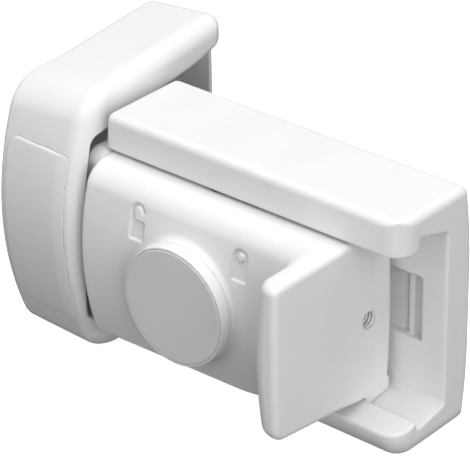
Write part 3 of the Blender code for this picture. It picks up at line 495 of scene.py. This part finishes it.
def slider_space(x, y, z):
    """Hollow of the slider, with its skin, end walls, thread boss and window for the bolt."""
    f = block(x, y, z, *SLIDER_HOLLOW)
    f = np.maximum(f, np.where(y < 4.0, slider_outside(x, y, z) + SKIN, -9.0))
    for low, high in ((11.0, 22.4), (45.6, 56.0)):
        f = cut(f, block(x, y, z, (66.8, 90.0), (-8.0, 14.8), (low, high)))
    f = cut(f, np.maximum(np.hypot(y - THREAD_Y, z - THREAD_Z) - (THREAD_R + 2.0), 70.2 - x))
    return np.minimum(f, block(x, y, z, *BOLT_WINDOW))


def slider_moulding(x, y, z):
    """Slider with its knob collar, neck, tongues, hollow, holes and padlock signs."""
    around = np.hypot(x - KNOB_X, z - KNOB_Z)
    collar = np.maximum(meet(around - KNOB_R, COLLAR_TOP - y, 0.05), y + 6.0)
    f = fuse(slider_outside(x, y, z), collar, 1.3)
    f = fuse(f, slider_nose(x, y, z), 0.5)
    f = np.minimum(f, slider_tongues(x, y, z))
    f = cut(f, slider_space(x, y, z))
    f = cut(f, np.maximum(around - (KNOB_NECK_R + 0.05), y + 9.0))
    f = cut(f, np.maximum(around - SPINDLE_HOLE_R, span(y, -10.0, -5.0)))
    f = cut(f, np.maximum(np.hypot(x - KNOB_X, y - PIN_Y) - 2.3, span(z, 54.0, 59.0)))
    f = cut(f, np.maximum(np.hypot(y - THREAD_Y, z - THREAD_Z) - THREAD_R, 69.0 - x))
    for sign, (sign_x, sign_z) in ((padlock_open, OPEN_SIGN_AT), (padlock_closed, CLOSED_SIGN_AT)):
        plan = sign(x - sign_x, z - sign_z)
        f = meet(f, -np.maximum(plan, y - slider_face(z) - SIGN_DEPTH), 0.12)
    return f


# ---------------------------------------------------------------- meshes from the shapes
def surface_cells(shape, low, high, step):
    """One point per grid cell that the surface crosses, and the quads between them."""
    axes = [np.arange(a - 2 * step, b + 3 * step, step) for a, b in zip(low, high)]    # with a margin
    grid = np.meshgrid(*axes, indexing="ij", sparse=True)
    field = shape(*grid)
    inside = field < 0.0
    n0, n1, n2 = (n - 1 for n in field.shape)       # cells along each axis
    filled = np.zeros((n0, n1, n2), np.uint8)
    for i in (0, 1):
        for j in (0, 1):
            for k in (0, 1):
                filled += inside[i:i + n0, j:j + n1, k:k + n2]
    active = (filled > 0) & (filled < 8)
    cells = np.argwhere(active)
    number = np.full(active.shape, -1, np.int64)
    number[active] = np.arange(len(cells))
    total, hits = np.zeros((len(cells), 3)), np.zeros(len(cells))
    quads = []
    for axis in range(3):
        along, side_a, side_b = (np.eye(3, dtype=int)[(axis + k) % 3] for k in range(3))
        for shift in (0 * along, side_a, side_b, side_a + side_b):
            start = cells + shift
            end = start + along
            v0, v1 = field[tuple(start.T)], field[tuple(end.T)]
            crossed = (v0 < 0.0) != (v1 < 0.0)
            share = np.where(crossed, v0 / np.where(crossed, v0 - v1, 1.0), 0.0)
            total[crossed] += (start + share[:, None] * along)[crossed]
            hits[crossed] += 1
        before = inside.take(range(inside.shape[axis] - 1), axis)
        after = inside.take(range(1, inside.shape[axis]), axis)
        edges = np.argwhere(before != after)
        ring = [edges - side_a - side_b, edges - side_b, edges, edges - side_a]
        ids = np.stack([number[tuple(c.T)] for c in ring], 1)
        leaving = before[tuple(edges.T)]
        quads += [ids[leaving], ids[~leaving][:, ::-1]]
    points = np.array([a[0] for a in axes]) + total / hits[:, None] * step
    return points, np.concatenate(quads)


def settle(shape, points, step):
    """Pull the points onto the exact surface along its slope."""
    nudge = 0.03
    for _ in range(3):
        value = shape(*points.T)
        slope = np.stack([(shape(*(points + d).T) - shape(*(points - d).T)) / (2 * nudge)
                          for d in np.eye(3) * nudge], 1)
        move = value[:, None] * slope / np.maximum((slope ** 2).sum(1), 0.2)[:, None]
        points = points - np.clip(move, -0.5 * step, 0.5 * step)
    return points


def make_object(name, points, faces, body, slot, *nodes):
    """A smooth mesh object from frame metres that rides on a body and stands for its CAD nodes."""
    mesh = bpy.data.meshes.new(name)
    mesh.from_pydata(points, [], faces)
    mesh.polygons.foreach_set("use_smooth", [True] * len(mesh.polygons))
    made = bpy.data.objects.new(name, mesh)
    bpy.context.scene.collection.objects.link(made)
    mesh.materials.append(LOOKS[slot](name + "_finish"))
    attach(made, body)
    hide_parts(*nodes)


def mould(name, shape, low, high, step, body, slot, *nodes):
    """Mesh of a shape that lies between two drawn corners, in cells of one step."""
    points, quads = surface_cells(shape, low, high, step)
    points = settle(shape, points, step)
    make_object(name, (points * 0.001 + np.array(BASE)).tolist(), quads.tolist(), body, slot, *nodes)


def side_angle(i, sides):
    """Angle of side i of a round piece."""
    return 2 * math.pi * i / sides


def lathe(name, profile, body, slot, *nodes, sides=160):
    """Turned piece about the knob's axis from (y, radius) pairs, with a flat face at both ends."""
    rings = []
    for y, radius in profile:
        rings += [tuple(in_frame(KNOB_X + radius * math.cos(side_angle(i, sides)), y,
                                 KNOB_Z + radius * math.sin(side_angle(i, sides)))) for i in range(sides)]
    faces = [(k * sides + i, (k + 1) * sides + i,
              (k + 1) * sides + (i + 1) % sides, k * sides + (i + 1) % sides)
             for k in range(len(profile) - 1) for i in range(sides)]
    faces += [tuple(range(sides)), tuple(reversed(range(len(rings) - sides, len(rings))))]
    make_object(name, rings, faces, body, slot, *nodes)


def build_knob():
    """White ring that turns in the collar, and the grey disc let into its front."""
    front = KNOB_FRONT
    stem = [(-2.7, 3.2), (-6.2, 3.2), (-6.2, SPINDLE_R), (KNOB_REAR, SPINDLE_R)]
    side = [(KNOB_REAR, KNOB_NECK_R), (COLLAR_TOP, KNOB_NECK_R),
            (COLLAR_TOP, KNOB_R - 0.02), (COLLAR_TOP - 0.2, KNOB_R)]
    top = [(front + 0.42 - 0.3 * math.sin(a), KNOB_R - 0.35 + 0.3 * math.cos(a))
           for a in (math.pi / 2 * k / 6 for k in range(7))]
    seat = [(front + 0.12, DISC_R + 0.12), (front + 0.25, DISC_R + 0.03), (front + 1.1, DISC_R + 0.03)]
    lathe("knob_ring", stem + side + top + seat, "lock_knob", "white_moulding", "knob_boss")
    edge = [(front + 0.25 - 0.27 * math.sin(a), DISC_R - 0.27 + 0.27 * math.cos(a))
            for a in (math.pi / 2 * k / 5 for k in range(6))]
    lathe("knob_face", [(front + 0.8, DISC_R)] + edge + [(front - 0.02, DISC_R - 1.0)],
          "lock_knob", "grey_inlay", "knob_disc")


def build_thread():
    """Threaded wall of the hole in the slider's end."""
    sides, steps = 48, 60
    root_r, thread_depth, outer_r = 2.08, 0.5, THREAD_R + 0.15
    start, end = SLIDER_RIGHT - 0.06, SLIDER_RIGHT - 6.5

    def on_ring(x, radius, i):
        a = side_angle(i, sides)
        return tuple(in_frame(x, THREAD_Y + radius * math.cos(a), THREAD_Z + radius * math.sin(a)))

    points = []
    for k in range(steps + 1):
        x = start + (end - start) * k / steps
        for i in range(sides):
            wave = (x / THREAD_PITCH - i / sides) % 1.0
            points.append(on_ring(x, root_r + thread_depth * abs(2.0 * wave - 1.0), i))
    points += [on_ring(x, outer_r, i) for x in (end, start) for i in range(sides)]
    rings = steps + 3
    faces = [(k * sides + i, (k + 1) % rings * sides + i, (k + 1) % rings * sides + (i + 1) % sides,
              k * sides + (i + 1) % sides) for k in range(rings) for i in range(sides)]
    make_object("thread_wall", points, faces, "slider", "white_moulding", "slider_body")


def build_mouldings():
    """The four large white mouldings."""
    mould("catch_housing", catch_housing, (CATCH_LEFT, -12.0, -4.5), (CATCH_RIM, CATCH_BACK, 78.0), 0.45,
          "wall_catch", "white_moulding", "catch_shell")
    mould("catch_front_panel", catch_front_panel, (-27.2, -12.5, 8.0), (-3.8, -3.0, 57.0), 0.35,
          "wall_catch", "white_moulding", "catch_panel")
    mould("gate_channel", rail_channel, (RAIL_START - RAIL_BOW, 0.0, 0.0), (RAIL_END, 28.6, RAIL_TALL),
          0.45, "gate_rail", "white_moulding", "rail_channel")
    mould("slider_moulding", slider_moulding, (-5.0, -28.0, 6.5), (SLIDER_RIGHT, SLIDER_BACK, 61.5), 0.38,
          "slider", "white_moulding", "slider_body")


# ---------------------------------------------------------------- studio
def build_floor():
    """Pale glowing table that the part stands on."""
    low, half = CAD_BOX[0][2] - FLOOR_GAP, FLOOR_HALF
    mesh = bpy.data.meshes.new("studio_floor")
    mesh.from_pydata([(-half, -half, low), (half, -half, low), (half, half, low), (-half, half, low)],
                     [], [(0, 1, 2, 3)])
    floor = bpy.data.objects.new("studio_floor", mesh)
    bpy.context.scene.collection.objects.link(floor)
    s = Shader("floor_paper")
    fibres = s.noise(0.0008, 3.0, 0.6)
    s.link(s.mix(s.remap(fibres, 0.3, 0.7, 0.0, 1.0), (0.90, 0.90, 0.90), (0.93, 0.93, 0.93)),
           s.surface.inputs["Base Color"])
    s.surface.inputs["Roughness"].default_value = 0.9
    s.surface.inputs["Specular IOR Level"].default_value = 0.0
    s.surface.inputs["Emission Color"].default_value = (1.0, 1.0, 1.0, 1.0)
    s.surface.inputs["Emission Strength"].default_value = FLOOR_GLOW
    mesh.materials.append(s.material)
    floor.visible_diffuse = False
    floor.visible_glossy = False


def area_light(name, place, aim, size, power):
    data = bpy.data.lights.new(name, "AREA")
    data.shape = "RECTANGLE"
    data.size, data.size_y = size
    data.energy = power
    lamp = bpy.data.objects.new(name, data)
    lamp.location = place
    lamp.rotation_euler = (Vector(aim) - Vector(place)).to_track_quat("-Z", "Y").to_euler()
    bpy.context.scene.collection.objects.link(lamp)


def build_light():
    """Soft boxes, and a sky that brightens upwards."""
    world = bpy.data.worlds.new("studio_air")
    bpy.context.scene.world = world
    world.use_nodes = True
    tree = world.node_tree
    back = tree.nodes["Background"]
    coords = tree.nodes.new("ShaderNodeTexCoord")
    split = tree.nodes.new("ShaderNodeSeparateXYZ")
    ramp_node = tree.nodes.new("ShaderNodeMapRange")
    tree.links.new(coords.outputs["Generated"], split.inputs["Vector"])
    tree.links.new(split.outputs["Z"], ramp_node.inputs["Value"])
    limits = {"From Min": AIR_LOW, "From Max": AIR_HIGH, "To Min": AIR_BELOW, "To Max": AIR_ABOVE}
    for key, number in limits.items():
        ramp_node.inputs[key].default_value = number
    tree.links.new(ramp_node.outputs["Result"], back.inputs["Strength"])
    back.inputs["Color"].default_value = (1.0, 1.0, 1.0, 1.0)
    for name, place, size, power in SOFTBOXES:
        area_light(name, place, LIGHTS_AIM, size, power)
    bpy.context.scene.view_settings.view_transform = "Standard"


def build_camera():
    """Camera at the given angle, rolled a little, that looks at a drawn point."""
    a, e, r = (math.radians(v) for v in (AZIMUTH, ELEVATION, ROLL))
    ahead = Vector((-math.sin(a) * math.cos(e), math.cos(a) * math.cos(e), -math.sin(e)))
    level = Vector((math.cos(a), math.sin(a), 0.0))
    above = level.cross(ahead)
    right = math.cos(r) * level + math.sin(r) * above
    up = -math.sin(r) * level + math.cos(r) * above
    data = bpy.data.cameras.new("camera")
    data.sensor_width, data.lens = SENSOR, LENS
    data.clip_start = 0.01
    camera = bpy.data.objects.new("camera", data)
    turn = Matrix((right, up, -ahead)).transposed().to_4x4()
    camera.matrix_world = Matrix.Translation(in_frame(*LOOK_AT_DRAWN) - ahead * DISTANCE) @ turn
    bpy.context.scene.collection.objects.link(camera)
    bpy.context.scene.camera = camera


dress_nodes()
build_mouldings()
build_knob()
build_thread()
build_floor()
build_light()
build_camera()
